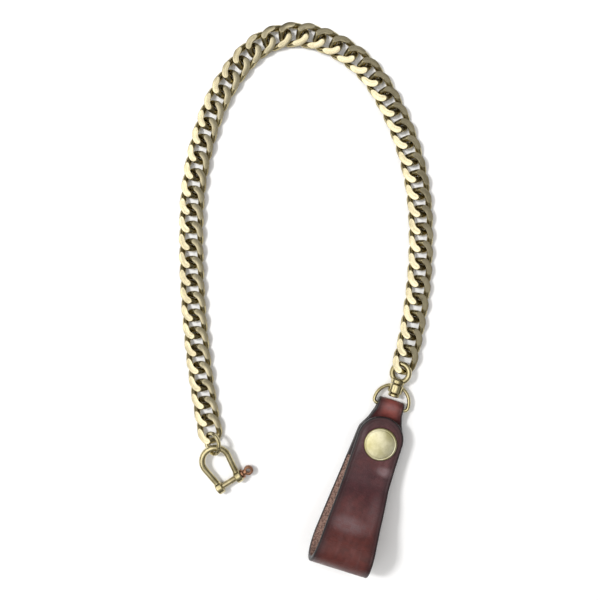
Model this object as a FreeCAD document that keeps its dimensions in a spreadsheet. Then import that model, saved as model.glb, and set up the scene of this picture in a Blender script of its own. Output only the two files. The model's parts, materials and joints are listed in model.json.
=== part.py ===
"""Curb wallet chain with a leather belt loop at one end and a bow shackle at the other.

The chain lies on the floor in a tall arch. X runs across the belt loop, Y along it with
the chain at +Y, and Z up. The floor is Z = 0. Sub-parts are first made about the
D-ring's bar, which is the local origin, and the whole layout is then shifted by
layout_x and layout_y so that the origin is below the middle of the object.
Millimetres and degrees.
"""
import FreeCAD, Part
import Sketcher
import math
import os

Vector = FreeCAD.Vector
Rotation = FreeCAD.Rotation
Placement = FreeCAD.Placement

DIMENSIONS = [
    # the chain: one curb link, twisted and then ground flat on both faces
    ("pitch", 7.79),
    ("link_total", 48),
    ("link_wire", 2.8),
    ("link_reach", 5.45),
    ("link_half_width", 4.0),
    ("link_tilt", 38),
    ("link_bend", 3.14),
    ("face_ridge", 2.15),
    ("face_slope", 13),
    ("chain_height", 2.15),
    # how the chain lies: joints in each stretch and the bend at each of them
    ("chain_start_x", 0.4),
    ("chain_start_y", 17.9),
    ("first_heading", 92.7),
    ("joints_first", 8),
    ("bend_first", 2.1),
    ("joints_second", 8),
    ("bend_second", 3.7),
    ("joints_third", 5),
    ("bend_third", 8.9),
    ("joints_crown", 4),
    ("bend_crown", 15.3),
    ("joints_fifth", 4),
    ("bend_fifth", 5.6),
    ("joints_sixth", 6),
    ("bend_sixth", 3.2),
    ("joints_last", 12),
    ("bend_last", 1.0),
    ("lead_links", 3),
    ("end_lift_angle", 3.3),
    # leather belt loop
    ("leather", 2.2),
    ("straight", 0),
    ("neck_half_width", 5.85),
    ("neck_top_y", 8),
    ("neck_foot_y", -2),
    ("shoulder_half_width", 10.4),
    ("shoulder_y", -12),
    ("waist_half_width", 10.9),
    ("waist_lean", 0.8),
    ("waist_y", -34),
    ("hip_half_width", 14.2),
    ("hip_lean", 1.9),
    ("hip_y", -46),
    ("foot_half_width", 13.6),
    ("foot_lean", 2.0),
    ("foot_y", -77),
    ("flap_end_radius", 10.6),
    ("flap_end_y", -15.6),
    ("bend_radius", 8.9),
    ("bend_y", -63.0),
    ("split_gap", 0.1),
    ("tab_drop_length", 5.5),
    ("tab_gap", 0.15),
    ("tab_overlap", 0.75),
    ("tab_ramp_length", 6.9),
    ("tab_length", 20),
    ("flap_underside", 7.0),
    ("flap_tip_y", -4),
    ("flap_flat_end", -30),
    ("flap_overlap", 0.33),
    ("cutter_height", 60),
    # snap fastener
    ("snap_y", -16.3),
    ("cap_radius", 7.2),
    ("cap_height", 1.7),
    ("cap_crown_radius", 24),
    ("cap_shank_radius", 1.2),
    ("socket_radius", 3.9),
    ("socket_cavity_radius", 2.4),
    ("socket_height", 1.8),
    ("socket_top", 0.63),
    ("stud_flange_radius", 3.4),
    ("stud_flange", 0.55),
    ("stud_head_radius", 1.95),
    ("stud_height", 1.75),
    ("post_radius", 1.0),
    ("post_head_radius", 3.2),
    ("post_head", 0.5),
    ("hole_clearance", 0.06),
    # D-ring with its boss
    ("ring_wire", 1.6),
    ("ring_half_width", 7.7),
    ("ring_corner", 1.6),
    ("ring_shoulder_y", 2.0),
    ("bar_clearance", 0.25),
    ("boss_radius", 3.2),
    ("boss_start", 6.2),
    ("boss_end", 10.3),
    # swivel eye
    ("eye_wire", 2.4),
    ("eye_radius", 3.9),
    ("eye_centre", 15.55),
    ("eye_tilt", -28),
    ("collar_start", 10.5),
    ("collar_end", 12.3),
    ("collar_radius", 3.1),
    ("post_shaft_radius", 1.5),
    ("peen_radius", 2.5),
    ("peen_start", 4.5),
    ("peen_end", 6.0),
    # jump ring
    ("jump_wire", 1.8),
    ("jump_radius", 4.55),
    ("jump_along", 6.6),
    ("jump_across", 0.41),
    ("jump_up", 2.28),
    ("jump_tilt", 47),
    ("jump_yaw", -0.7),
    # bow shackle and its screw pin
    ("bow_wire", 2.8),
    ("bow_radius", 6.0),
    ("bow_centre", 11.1),
    ("bow_flare", 7),
    ("bow_turn", 21),
    ("bow_pitch", 5.7),
    ("crest_along", 8.97),
    ("crest_across", -1.9),
    ("pin_height", 2.8),
    ("ear_radius", 2.7),
    ("ear_start", 3.3),
    ("ear_end", 6.3),
    ("pin_radius", 1.3),
    ("pin_clearance", 0.05),
    ("pin_tip", 0.3),
    ("pin_collar_radius", 2.1),
    ("pin_collar", 1.2),
    ("lug_radius", 2.1),
    ("lug_thickness", 2.4),
    ("lug_centre", 10.0),
    ("lug_hole_radius", 1.0),
    # where the whole layout goes
    ("layout_x", 53.77),
    ("layout_y", -39.1),
]

doc = FreeCAD.newDocument("wallet_chain")
sheet = doc.addObject("Spreadsheet::Sheet", "Sizes")
for row, (alias, value) in enumerate(DIMENSIONS, start=1):
    sheet.set(f"A{row}", alias)
    sheet.set(f"B{row}", str(value))
    sheet.setAlias(f"B{row}", alias)
doc.recompute()


def size(name):
    """A driving dimension, read from the sheet."""
    return float(sheet.get(name))


def cells(formula):
    """A formula in the sheet's aliases, written out for setExpression."""
    for alias, _ in sorted(DIMENSIONS, key=lambda item: -len(item[0])):
        formula = formula.replace("{" + alias + "}", "Sizes." + alias)
    return formula


LAYOUT = Placement(Vector(size("layout_x"), size("layout_y"), 0), Rotation())
BAR_HEIGHT = "({leather} + {ring_wire} / 2 + {bar_clearance})"
bar_height = size("leather") + size("ring_wire") / 2 + size("bar_clearance")
X_AXIS = Vector(1, 0, 0)
Y_AXIS = Vector(0, 1, 0)
Z_AXIS = Vector(0, 0, 1)
ALONG_X = Rotation(Y_AXIS, 90)
ALONG_Y = Rotation(X_AXIS, -90)
UPRIGHT = Rotation()
CENTRE = ("0", "0", "0")


def primitive(kind, name, at, turn=UPRIGHT, **formulas):
    """A Part primitive; its sizes and its place are formulas in the sheet's aliases."""
    piece = doc.addObject("Part::" + kind, name)
    piece.Placement = Placement(Vector(), turn)
    for axis, formula in zip("xyz", at):
        piece.setExpression("Placement.Base." + axis, cells(formula))
    for field, formula in formulas.items():
        piece.setExpression(field, cells(formula))
    return piece


def rod(name, at, turn, radius, length, angle="360"):
    return primitive("Cylinder", name, at, turn, Radius=radius, Height=length, Angle=angle)


def fused(name, pieces):
    whole = doc.addObject("Part::MultiFuse", name)
    whole.Shapes = pieces
    return whole


def cut(name, base, tool):
    rest = doc.addObject("Part::Cut", name)
    rest.Base = base
    rest.Tool = tool
    return rest


def common(name, base, tool):
    shared = doc.addObject("Part::Common", name)
    shared.Base = base
    shared.Tool = tool
    return shared


SUB_PARTS = []


def finish(label, piece, place=Placement()):
    """Names a sub-part and moves it to its place in the layout."""
    piece.Label = label
    piece.Placement = LAYOUT.multiply(place)
    SUB_PARTS.append(piece)


def placed_copy(label, shape, place):
    """One more sub-part of the same shape at another place."""
    piece = doc.addObject("Part::Feature", label)
    piece.Shape = shape.copy()
    finish(label, piece, place)


def outline_prism(name, points):
    """An upright prism over an outline given from its top: half width, lean to the left and y."""
    body = doc.addObject("PartDesign::Body", name)
    sketch = body.newObject("Sketcher::SketchObject", name + "_outline")
    floor = next(f for f in body.Origin.OriginFeatures if f.Role == "XY_Plane")
    sketch.AttachmentSupport = [(floor, "")]
    sketch.MapMode = "FlatFace"
    corners = [(1, *point) for point in points] + [(-1, *point) for point in reversed(points)]
    spots = [Vector(side * size(half) - size(lean), size(y), 0) for side, half, lean, y in corners]
    for first, second in zip(spots, spots[1:] + spots[:1]):
        sketch.addGeometry(Part.LineSegment(first, second), False)
    for index, (side, half, lean, y) in enumerate(corners):
        after = (index - 1) % len(corners)
        spot = spots[index]
        sketch.addConstraint(Sketcher.Constraint("Coincident", after, 2, index, 1))
        across = sketch.addConstraint(Sketcher.Constraint("DistanceX", -1, 1, index, 1, spot.x))
        sketch.setExpression(f"Constraints[{across}]", f"{side} * Sizes.{half} - Sizes.{lean}")
        along = sketch.addConstraint(Sketcher.Constraint("DistanceY", -1, 1, index, 1, spot.y))
        sketch.setExpression(f"Constraints[{along}]", "Sizes." + y)
    pad = body.newObject("PartDesign::Pad", name + "_pad")
    pad.Profile = sketch
    pad.setExpression("Length", cells("{cutter_height}"))
    pad.Midplane = True
    body.Tip = pad
    return body


# ---- curb link -------------------------------------------------------------------------
def rounded_loop(corners, radius):
    """Edges of a closed loop of straight runs, with an arc of the radius at every corner."""
    arcs = []
    for index, corner in enumerate(corners):
        back = (corners[index - 1] - corner).normalize()
        ahead = (corners[(index + 1) % len(corners)] - corner).normalize()
        half_angle = back.getAngle(ahead) / 2
        reach = radius / math.tan(half_angle)
        centre = corner + (back + ahead).normalize() * (radius / math.sin(half_angle))
        middle = centre + (corner - centre).normalize() * radius
        arcs.append((corner + back * reach, middle, corner + ahead * reach))
    edges = []
    for index, (start, middle, end) in enumerate(arcs):
        edges.append(Part.LineSegment(arcs[index - 1][2], start).toShape())
        edges.append(Part.Arc(start, middle, end).toShape())
    return edges


def pipe(edges, radius):
    """A round wire along a run of edges."""
    start = edges[0].valueAt(edges[0].FirstParameter)
    heading = edges[0].tangentAt(edges[0].FirstParameter)
    section = Part.Face(Part.Wire([Part.makeCircle(radius, start, heading)]))
    return Part.Wire(edges).makePipe(section)


def roof_prism():
    """The room that the grinding leaves: two shallow faces above the chain and two below."""
    ridge = size("face_ridge")
    reach = 2 * size("link_half_width")
    eaves = ridge - reach * math.tan(math.radians(size("face_slope")))
    length = 4 * size("link_reach")
    section = [
        Vector(-length / 2, 0, ridge),
        Vector(-length / 2, reach, eaves),
        Vector(-length / 2, reach, -eaves),
        Vector(-length / 2, 0, -ridge),
        Vector(-length / 2, -reach, -eaves),
        Vector(-length / 2, -reach, eaves),
    ]
    return Part.Face(Part.makePolygon(section + section[:1])).extrude(Vector(length, 0, 0))


def curb_link():
    """A round-wire loop twisted about the chain's line, then ground to the roof prism."""
    reach = size("link_reach")
    half_width = size("link_half_width")
    rise = half_width * math.tan(math.radians(size("link_tilt")))
    corners = [
        Vector(reach, -half_width, rise),
        Vector(reach, half_width, -rise),
        Vector(-reach, half_width, rise),
        Vector(-reach, -half_width, -rise),
    ]
    edges = rounded_loop(corners, size("link_bend"))
    radius = size("link_wire") / 2
    halves = [pipe(edges[:4], radius), pipe(edges[4:], radius)]
    return halves[0].fuse(halves[1]).common(roof_prism()).Solids[0]


# ---- where each link lies --------------------------------------------------------------
STRETCHES = ("first", "second", "third", "crown", "fifth", "sixth", "last")


def chain_bends():
    """The in-plane bend at each joint between two links, from the swivel to the shackle."""
    bends = []
    for stretch in STRETCHES:
        bends += [size("bend_" + stretch)] * int(size("joints_" + stretch))
    return bends


def link_places():
    """For each link its pivot towards the swivel, its placement and its heading in degrees."""
    pitch = size("pitch")
    drop = bar_height - size("chain_height")
    lead = int(size("lead_links"))
    lead_angle = math.degrees(math.asin(drop / (lead * pitch)))
    total = int(size("link_total"))
    pivot = Vector(size("chain_start_x"), size("chain_start_y"), bar_height)
    heading = size("first_heading")
    bends = chain_bends() + [0]
    places = []
    for number in range(total):
        slope = -lead_angle if number < lead else 0.0
        if number == total - 1:
            slope = size("end_lift_angle")
        turn = Rotation(Z_AXIS, heading).multiply(Rotation(Y_AXIS, -slope))
        step = turn.multVec(X_AXIS) * pitch
        places.append((pivot, Placement(pivot + step / 2, turn), heading))
        pivot = pivot + step
        heading += bends[number]
    return places


def add_chain():
    link = curb_link()
    for number, (_, place, _) in enumerate(link_places(), start=1):
        placed_copy(f"chain_link_{number:02d}", link, place)


# ---- jump ring, shackle and pin --------------------------------------------------------
def chain_end():
    """The last link's middle, level, with X along the chain: the jump ring's own frame."""
    _, place, heading = link_places()[-1]
    middle = Vector(place.Base.x, place.Base.y, size("chain_height"))
    return Placement(middle, Rotation(Z_AXIS, heading))


def jump_ring_place():
    offset = Vector(size("jump_along"), size("jump_across"), size("jump_up"))
    turn = Rotation(Z_AXIS, size("jump_yaw")).multiply(Rotation(X_AXIS, size("jump_tilt")))
    return chain_end().multiply(Placement(offset, turn))


def shackle_place():
    """The pin's middle, with X along the pin towards its head and Y towards the bow's crest."""
    crest = Vector(size("crest_along"), size("crest_across"), 0)
    turn = math.radians(size("bow_turn"))
    reach = (size("bow_centre") + size("bow_radius")) * math.cos(math.radians(size("bow_pitch")))
    pin = crest + Vector(math.cos(turn), math.sin(turn), 0) * reach
    pin.z = size("pin_height") - size("chain_height")
    level = Placement(pin, Rotation(Z_AXIS, size("bow_turn") + 90))
    pitched = Placement(Vector(), Rotation(X_AXIS, size("bow_pitch")))
    return chain_end().multiply(level).multiply(pitched)


def add_jump_ring():
    ring = primitive(
        "Torus",
        "jump_torus",
        CENTRE,
        Radius1="{jump_radius}",
        Radius2="{jump_wire} / 2",
    )
    # wrapped, so that the sub-part's own placement is free of formulas
    whole = doc.addObject("Part::Compound2", "jump_ring_whole")
    whole.Links = [ring]
    finish("jump_ring", whole, jump_ring_place())


def add_shackle_bow():
    """A bow a little over half a circle, two legs that run in to the ears, and the bored ears."""
    flare = math.radians(size("bow_flare"))
    knee_x = "{bow_radius} * cos({bow_flare})"
    knee_y = "{bow_centre} - {bow_radius} * sin({bow_flare})"
    leg_length = "(" + knee_y + ") / cos({bow_flare})"
    crest = primitive(
        "Torus",
        "bow_crest",
        ("0", "{bow_centre}", "0"),
        Rotation(Z_AXIS, -size("bow_flare")),
        Radius1="{bow_radius}",
        Radius2="{bow_wire} / 2",
        Angle3="180 + 2 * {bow_flare}",
    )
    pieces = [crest]
    for side, name, ear_x in ((1, "right", "{ear_start}"), (-1, "left", "-{ear_end}")):
        inward = Rotation(Z_AXIS, Vector(-side * math.sin(flare), -math.cos(flare), 0))
        knee = (f"{side} * " + knee_x, knee_y, "0")
        pieces.append(rod("bow_leg_" + name, knee, inward, "{bow_wire} / 2", leg_length))
        ear_length = "{ear_end} - {ear_start}"
        pieces.append(rod("ear_" + name, (ear_x, "0", "0"), ALONG_X, "{ear_radius}", ear_length))
    bore_radius = "{pin_radius} + {pin_clearance}"
    bore = rod("ear_bore", ("-2 * {ear_end}", "0", "0"), ALONG_X, bore_radius, "4 * {ear_end}")
    room = primitive(
        "Box",
        "ear_room",
        ("-{ear_start}", "-2 * {ear_radius}", "-{ear_radius}"),
        Length="2 * {ear_start}",
        Width="4 * {ear_radius}",
        Height="2 * {ear_radius}",
    )
    bow = cut("shackle_bow_cut", fused("bow_blank", pieces), fused("bow_openings", [bore, room]))
    finish("shackle_bow", bow, shackle_place())


def add_shackle_pin():
    """A round pin with a collar against one ear and a flat lug with a cross hole."""
    shaft_x = "-{ear_end} - {pin_tip}"
    shaft_length = "2 * {ear_end} + 2 * {pin_tip}"
    shaft = rod("pin_shaft", (shaft_x, "0", "0"), ALONG_X, "{pin_radius}", shaft_length)
    collar_x = "{ear_end} + {split_gap}"
    collar = rod("pin_disc", (collar_x, "0", "0"), ALONG_X, "{pin_collar_radius}", "{pin_collar}")
    neck_length = "{lug_centre} - {ear_end} - {lug_hole_radius}"
    neck = rod("pin_neck", ("{ear_end}", "0", "0"), ALONG_X, "{pin_radius}", neck_length)
    lug_foot = ("{lug_centre}", "0", "-{lug_thickness} / 2")
    lug = rod("pin_lug", lug_foot, UPRIGHT, "{lug_radius}", "{lug_thickness}")
    hole_foot = ("{lug_centre}", "0", "-{lug_thickness}")
    hole = rod("pin_lug_hole", hole_foot, UPRIGHT, "{lug_hole_radius}", "2 * {lug_thickness}")
    pin = cut("pin_cut", fused("pin_blank", [shaft, collar, neck, lug]), hole)
    finish("shackle_pin", pin, shackle_place())


# ---- D-ring and swivel eye -------------------------------------------------------------
def add_d_ring():
    """A wire D whose straight bar sits in the leather fold, with a bored boss at its top."""
    height = BAR_HEIGHT
    half_wire = "{ring_wire} / 2"
    inner = "({ring_half_width} - {ring_corner})"
    bar = rod("d_bar", ("-" + inner, "0", height), ALONG_X, half_wire, "2 * " + inner)
    arch = primitive(
        "Torus",
        "d_arch",
        ("0", "{ring_shoulder_y}", height),
        Radius1="{ring_half_width}",
        Radius2=half_wire,
        Angle3="180",
    )
    pieces = [bar, arch]
    for side, turn, name in ((1, 270, "right"), (-1, 180, "left")):
        sign = "" if side > 0 else "-"
        pieces.append(
            primitive(
                "Torus",
                "d_corner_" + name,
                (sign + inner, "{ring_corner}", height),
                Rotation(Z_AXIS, turn),
                Radius1="{ring_corner}",
                Radius2=half_wire,
                Angle3="90",
            )
        )
        side_foot = (sign + "{ring_half_width}", "{ring_corner}", height)
        side_length = "{ring_shoulder_y} - {ring_corner}"
        pieces.append(rod("d_side_" + name, side_foot, ALONG_Y, half_wire, side_length))
    boss_foot = ("0", "{boss_start}", height)
    boss = rod("d_boss", boss_foot, ALONG_Y, "{boss_radius}", "{boss_end} - {boss_start}")
    bore_foot = ("0", "{boss_start} / 2", height)
    bore_radius = "{post_shaft_radius} + {pin_clearance}"
    bore = rod("d_bore", bore_foot, ALONG_Y, bore_radius, "2 * {boss_end}")
    finish("d_ring", cut("d_ring_cut", fused("d_blank", pieces + [boss]), bore))


def add_swivel_eye():
    """A ring eye on a collar, with a post through the boss and a peened head inside the D."""
    eye = primitive(
        "Torus",
        "eye_torus",
        ("0", "{eye_centre}", "0"),
        Radius1="{eye_radius}",
        Radius2="{eye_wire} / 2",
    )
    collar_length = "{collar_end} - {collar_start}"
    collar = rod("eye_collar", ("0", "{collar_start}", "0"), ALONG_Y, "{collar_radius}", collar_length)
    peen_foot = ("0", "{peen_start}", "0")
    post_length = "{collar_end} - {peen_start}"
    post = rod("eye_post", peen_foot, ALONG_Y, "{post_shaft_radius}", post_length)
    peen = rod("eye_peen", peen_foot, ALONG_Y, "{peen_radius}", "{peen_end} - {peen_start}")
    whole = fused("eye_whole", [eye, collar, post, peen])
    place = Placement(Vector(0, 0, bar_height), Rotation(Y_AXIS, size("eye_tilt")))
    finish("swivel_eye", whole, place)


# ---- leather ---------------------------------------------------------------------------
WIDE = "4 * {hip_half_width}"
HALF_WIDE = "-2 * {hip_half_width}"


def slab(name, y, z, length, turn=UPRIGHT):
    """A flat run of leather, wider than the outline that trims it."""
    return primitive("Box", name, (HALF_WIDE, y, z), turn, Length=WIDE, Width=length, Height="{leather}")


def bend(name, y, z, inner, start, sweep):
    """A run of leather bent about a line along X: a slice of tube from the start angle."""
    turn = Rotation(Vector(0, 1, 0), Vector(0, 0, 1), Vector(1, 0, 0), "ZXY")
    first = turn.multiply(Rotation(Z_AXIS, start))
    outer = rod(name + "_outer", (HALF_WIDE, y, z), first, inner + " + {leather}", WIDE, sweep)
    core = rod(name + "_core", (HALF_WIDE, y, z), first, inner, WIDE)
    return cut(name, outer, core)


def cutter(name, radius, top, y="{snap_y}"):
    """An upright cylinder from below the floor to the given height."""
    return rod(name, ("0", y, "-{leather}"), UPRIGHT, radius, "{leather} + " + top)


def add_strap_back():
    """The layer that lies on the floor, half of the lower bend, the fold and the tab."""
    fold_inner = "{ring_wire} / 2 + {bar_clearance}"
    bend_inner = "{bend_radius} - {leather} / 2"
    fold_bottom = bar_height + size("ring_wire") / 2 + size("bar_clearance")
    drop = fold_bottom - size("leather") - size("tab_gap")
    steepness = drop / size("tab_drop_length")
    ramp_z = f"{BAR_HEIGHT} + {fold_inner} + {steepness} * {{tab_overlap}}"
    down = Rotation(X_AXIS, -math.degrees(math.atan(steepness)))
    ramp = primitive(
        "Box",
        "tab_ramp",
        ("2 * {hip_half_width}", "{tab_overlap}", ramp_z),
        Rotation(Z_AXIS, 180).multiply(down),
        Length=WIDE,
        Width="{tab_ramp_length}",
        Height="{leather}",
    )
    runs = [
        slab("back_floor", "{bend_y}", "0", "-{bend_y}"),
        bend("back_bend", "{bend_y}", "{bend_radius} + {leather} / 2", bend_inner, 180, "90"),
        bend("neck_fold", "0", BAR_HEIGHT, fold_inner, -90, "180"),
        slab("tab_flat", "-{tab_drop_length} - {tab_length}", "{leather} + {tab_gap}", "{tab_length}"),
        ramp,
    ]
    outline = outline_prism(
        "back_outline",
        [
            ("neck_half_width", "straight", "neck_top_y"),
            ("neck_half_width", "straight", "neck_foot_y"),
            ("shoulder_half_width", "straight", "shoulder_y"),
            ("hip_half_width", "hip_lean", "hip_y"),
            ("foot_half_width", "foot_lean", "foot_y"),
        ],
    )
    blank = common("back_trimmed", fused("back_runs", runs), outline)
    recess_radius = "{post_head_radius} + {hole_clearance}"
    split = primitive(
        "Box",
        "back_split",
        (HALF_WIDE, "2 * {bend_y}", "{bend_radius} + {leather} / 2 - {split_gap}"),
        Length=WIDE,
        Width="-{bend_y}",
        Height="{split_gap} * 2",
    )
    openings = [
        cutter("post_hole", "{post_radius} + {hole_clearance}", "{cutter_height}"),
        cutter("post_recess", recess_radius, "{post_head} + 2 * {hole_clearance}"),
        split,
    ]
    finish("strap_back", cut("strap_back_cut", blank, fused("back_openings", openings)))


def add_strap_front():
    """The other half of the lower bend, the sloping front layer and the rounded flap."""
    bend_inner = "{bend_radius} - {leather} / 2"
    radius = size("bend_radius")
    half_leather = size("leather") / 2
    flap_z = size("flap_underside") + half_leather
    run = size("flap_flat_end") - size("bend_y")
    rise = radius + half_leather - flap_z
    # the front layer is tangent to the bend, so its slope follows from the run and the rise
    reach = math.hypot(run, rise)
    slope = math.atan2(rise, run) + math.asin(radius / reach)
    slope_degrees = math.degrees(slope)
    corner_y = size("flap_flat_end") - half_leather * math.sin(slope)
    corner_z = flap_z - half_leather * math.cos(slope)
    ramp = primitive(
        "Box",
        "front_ramp",
        ("2 * {hip_half_width}", str(corner_y), str(corner_z)),
        Rotation(Z_AXIS, 180).multiply(Rotation(X_AXIS, slope_degrees)),
        Length=WIDE,
        Width=str(math.sqrt(reach * reach - radius * radius)),
        Height="{leather}",
    )
    flat_start = "{flap_flat_end} - {flap_overlap}"
    flat_length = "{flap_tip_y} - {flap_flat_end} + {flap_overlap}"
    sweep = str(90 + slope_degrees)
    bend_z = "{bend_radius} + {leather} / 2"
    runs = [
        slab("front_flat", flat_start, "{flap_underside}", flat_length),
        bend("front_bend", "{bend_y}", bend_z, bend_inner, 90 - slope_degrees, sweep),
        ramp,
    ]
    outline = outline_prism(
        "front_outline",
        [
            ("flap_end_radius", "straight", "flap_end_y"),
            ("waist_half_width", "waist_lean", "waist_y"),
            ("foot_half_width", "foot_lean", "foot_y"),
        ],
    )
    tip = cutter("front_tip", "{flap_end_radius}", "{cutter_height}", "{flap_end_y}")
    blank = common("front_trimmed", fused("front_runs", runs), fused("front_plan", [outline, tip]))
    hole = cutter("cap_hole", "{cap_shank_radius} + {hole_clearance}", "{cutter_height}")
    finish("strap_front", cut("strap_front_cut", blank, hole))


# ---- snap fastener ---------------------------------------------------------------------
def snap_rod(name, z, radius, length):
    """A cylinder on the snap fastener's line."""
    return rod(name, ("0", "{snap_y}", z), UPRIGHT, radius, length)


def add_cap_and_socket():
    """The half of the snap on the flap: a domed cap whose shank holds the socket below it."""
    flap_top = "{flap_underside} + {leather}"
    disc = snap_rod("cap_disc", flap_top, "{cap_radius}", "{cap_height}")
    crown_spot = ("0", "{snap_y}", flap_top + " + {cap_height} - {cap_crown_radius}")
    crown = primitive("Sphere", "cap_crown", crown_spot, Radius="{cap_crown_radius}")
    shank_foot = "{flap_underside} - {socket_top}"
    shank = snap_rod("cap_shank", shank_foot, "{cap_shank_radius}", "{leather} + {socket_top}")
    finish("snap_cap", fused("cap_whole", [common("cap_head", disc, crown), shank]))
    socket_foot = "{flap_underside} - {socket_height}"
    socket = snap_rod("socket_body", socket_foot, "{socket_radius}", "{socket_height}")
    cavity_foot = "{flap_underside} - 2 * {socket_height}"
    cavity_length = "2 * {socket_height} - {socket_top}"
    cavity = snap_rod("socket_cavity", cavity_foot, "{socket_cavity_radius}", cavity_length)
    eyelet_radius = "{cap_shank_radius} + {hole_clearance}"
    eyelet = snap_rod("socket_eyelet", socket_foot, eyelet_radius, "2 * {socket_height}")
    openings = fused("socket_openings", [cavity, eyelet])
    finish("snap_socket", cut("socket_cut", socket, openings))


def add_stud_and_post():
    """The half of the snap on the strap: a stud on the tab, held by a post from below."""
    tab_top = "{leather} + {tab_gap} + {leather}"
    flange = snap_rod("stud_flange_disc", tab_top, "{stud_flange_radius}", "{stud_flange}")
    head = snap_rod("stud_head", tab_top, "{stud_head_radius}", "{stud_height}")
    bore = cutter("stud_bore", "{post_radius} + {hole_clearance}", "{cutter_height}")
    finish("snap_stud", cut("stud_cut", fused("stud_blank", [flange, head]), bore))
    post_foot = "{hole_clearance}"
    shank_length = tab_top + " + {stud_height} - 2 * {hole_clearance}"
    post_head = snap_rod("post_head_disc", post_foot, "{post_head_radius}", "{post_head}")
    post_shank = snap_rod("post_shank", post_foot, "{post_radius}", shank_length)
    finish("snap_post", fused("post_whole", [post_head, post_shank]))


# ---- build, test and write -------------------------------------------------------------
def check_document():
    """Stops if any object failed or any sub-part is empty or invalid."""
    doc.recompute()
    for piece in doc.Objects:
        bad = {"Invalid", "Error"} & set(piece.State)
        if bad:
            raise RuntimeError(f"{piece.Label} is {piece.State}")
    for piece in SUB_PARTS:
        if piece.Shape.isNull() or not piece.Shape.isValid():
            raise RuntimeError(f"{piece.Label} has no valid shape")


def write_parts():
    os.makedirs("parts", exist_ok=True)
    for piece in SUB_PARTS:
        piece.Shape.exportStep(os.path.join("parts", piece.Label + ".step"))


add_strap_back()
add_strap_front()
add_cap_and_socket()
add_stud_and_post()
add_d_ring()
add_swivel_eye()
add_chain()
add_jump_ring()
add_shackle_bow()
add_shackle_pin()
check_document()
write_parts()

whole_box = FreeCAD.BoundBox()
for part_piece in SUB_PARTS:
    whole_box.add(part_piece.Shape.optimalBoundingBox(False))
print(f"{len(SUB_PARTS)} sub-parts in {whole_box}")
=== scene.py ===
# %% [markdown]
# # A brass wallet chain on its leather belt loop
#
# The object is a heavy curb chain, ground flat on both faces. One end turns on a swivel in a
# D-ring held by the fold of a leather belt loop, and the other ends in a bow shackle. The
# working model already says where every part is and how it moves. This lesson gives each part
# its finished surface and its material, and leaves its place and size alone.

# %% Load the working model
import json
import math

import bpy
import numpy as np
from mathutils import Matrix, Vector


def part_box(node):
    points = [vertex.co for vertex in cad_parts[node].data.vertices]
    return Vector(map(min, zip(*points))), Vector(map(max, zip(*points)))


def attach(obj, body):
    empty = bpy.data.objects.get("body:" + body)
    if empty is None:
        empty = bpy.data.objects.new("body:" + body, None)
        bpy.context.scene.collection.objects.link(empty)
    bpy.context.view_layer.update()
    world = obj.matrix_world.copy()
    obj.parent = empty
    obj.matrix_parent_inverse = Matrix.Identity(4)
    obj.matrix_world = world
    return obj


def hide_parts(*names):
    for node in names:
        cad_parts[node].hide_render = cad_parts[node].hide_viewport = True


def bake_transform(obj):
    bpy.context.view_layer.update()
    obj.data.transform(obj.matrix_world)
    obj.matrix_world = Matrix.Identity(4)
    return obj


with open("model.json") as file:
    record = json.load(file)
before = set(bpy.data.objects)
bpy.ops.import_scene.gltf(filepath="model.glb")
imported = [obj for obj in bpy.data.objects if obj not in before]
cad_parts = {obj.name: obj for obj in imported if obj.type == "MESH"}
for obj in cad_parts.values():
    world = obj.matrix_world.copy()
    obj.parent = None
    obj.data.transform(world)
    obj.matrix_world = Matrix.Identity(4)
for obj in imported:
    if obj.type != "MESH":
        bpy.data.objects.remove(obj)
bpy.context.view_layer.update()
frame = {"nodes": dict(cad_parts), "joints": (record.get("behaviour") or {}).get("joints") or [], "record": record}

MM = 0.001
SEED = 7
random = np.random.default_rng(SEED)
joints = {joint["name"]: joint for joint in frame["joints"]}


def joint_place(name):
    """Where a joint turns, in millimetres."""
    return np.array(joints[name]["pos_m"]) / MM


def node_box(name):
    """Lowest and highest corner of a part of the working model, in millimetres."""
    return [np.array(corner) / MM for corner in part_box(name)]


bar = joint_place("d_ring_swing")
LOOP_ORIGIN = np.array([bar[0], bar[1], 0.0])
print("the belt loop is measured from the D-ring's bar at", np.round(bar, 2), "mm")

# %% [markdown]
# ## From a grid of points to a mesh
#
# Almost every piece here is a tube of some kind: a section that is carried along a path. So
# one helper is enough. It takes a grid of points, row after row along the path and column
# after column round the section, and joins neighbours with four-sided faces. A path that
# doesn't close gets a lid at each end. Modelling by hand or with curves would also work, but a
# grid that comes from a formula can be refined or corrected by changing one number.


# %% Grid helpers
def unit(vectors):
    """Vectors of length one: each divided by its own length."""
    return vectors / np.linalg.norm(vectors, axis=-1, keepdims=True)


def grid_faces(rows, columns, closed):
    """Quads between neighbouring rows and columns, and a lid on each open end."""
    index = np.arange(rows * columns).reshape(rows, columns)
    here = index if closed else index[:-1]
    after = np.roll(index, -1, axis=0) if closed else index[1:]
    quads = np.stack([here, np.roll(here, -1, 1), np.roll(after, -1, 1), after], axis=-1)
    lids = [] if closed else [index[0][::-1].tolist(), index[-1].tolist()]
    return quads.reshape(-1, 4), lids


def signed_volume(points, quads):
    """Sum over the quads of a . (b x c) + a . (c x d), over six: negative when inside out."""
    a, b, c, d = (points[quads[:, corner]] for corner in range(4))
    return float(np.sum(a * (np.cross(b, c) + np.cross(c, d)))) / 6


def skin(points, closed):
    """A grid's points in one list, and its faces, turned so that they point outwards."""
    rows, columns, _ = points.shape
    places = points.reshape(-1, 3)
    quads, lids = grid_faces(rows, columns, closed)
    faces = quads.tolist() + lids
    if signed_volume(places - places.mean(axis=0), quads) < 0:
        faces = [face[::-1] for face in faces]
    return places, faces


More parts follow.
